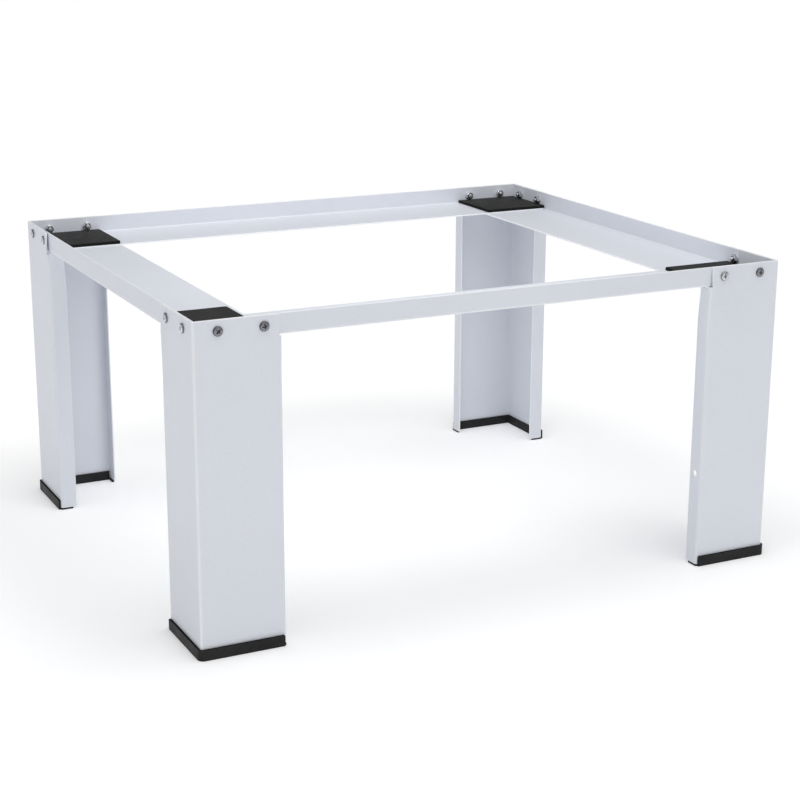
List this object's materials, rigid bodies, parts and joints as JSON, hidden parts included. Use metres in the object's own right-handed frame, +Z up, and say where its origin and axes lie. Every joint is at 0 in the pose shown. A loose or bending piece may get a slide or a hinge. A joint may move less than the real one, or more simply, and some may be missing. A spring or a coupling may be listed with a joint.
{
  "type": "washing machine stand",
  "caption": "Low open stand of white bent sheet steel with angle legs, angle rails, rubber feet and corner pads, which lifts a washing machine off the floor.",
  "frame": {"origin": "middle of the footprint on the floor, under the centre of the stand", "axes": "+X along the long front side towards the right, +Y towards the back, +Z up"},
  "size_m": [0.64, 0.55, 0.32],
  "materials": {
    "powder_coat": "white powder coat, satin with a fine orange-peel texture",
    "foot_rubber": "black moulded rubber, matt",
    "pad_rubber": "black sheet rubber, matt with a fine grain",
    "screw_steel": "zinc-plated steel, dulled",
    "washer_steel": "bright zinc-plated steel",
    "nut_steel": "bright zinc-plated steel"
  },
  "bodies": {
    "root": {"front_rail": "powder_coat", "back_rail": "powder_coat", "left_rail": "powder_coat", "right_rail": "powder_coat", "front_left_leg": "powder_coat", "front_right_leg": "powder_coat", "back_left_leg": "powder_coat", "back_right_leg": "powder_coat", "front_left_foot": "foot_rubber", "front_right_foot": "foot_rubber", "back_left_foot": "foot_rubber", "back_right_foot": "foot_rubber", "front_left_pad": "pad_rubber", "front_right_pad": "pad_rubber", "back_left_pad": "pad_rubber", "back_right_pad": "pad_rubber", "front_left_screws": "screw_steel", "front_right_screws": "screw_steel", "back_left_screws": "screw_steel", "back_right_screws": "screw_steel", "front_left_washers": "washer_steel", "front_right_washers": "washer_steel", "back_left_washers": "washer_steel", "back_right_washers": "washer_steel", "front_left_nuts": "nut_steel", "front_right_nuts": "nut_steel", "back_left_nuts": "nut_steel", "back_right_nuts": "nut_steel"}
  },
  "joints": []
}
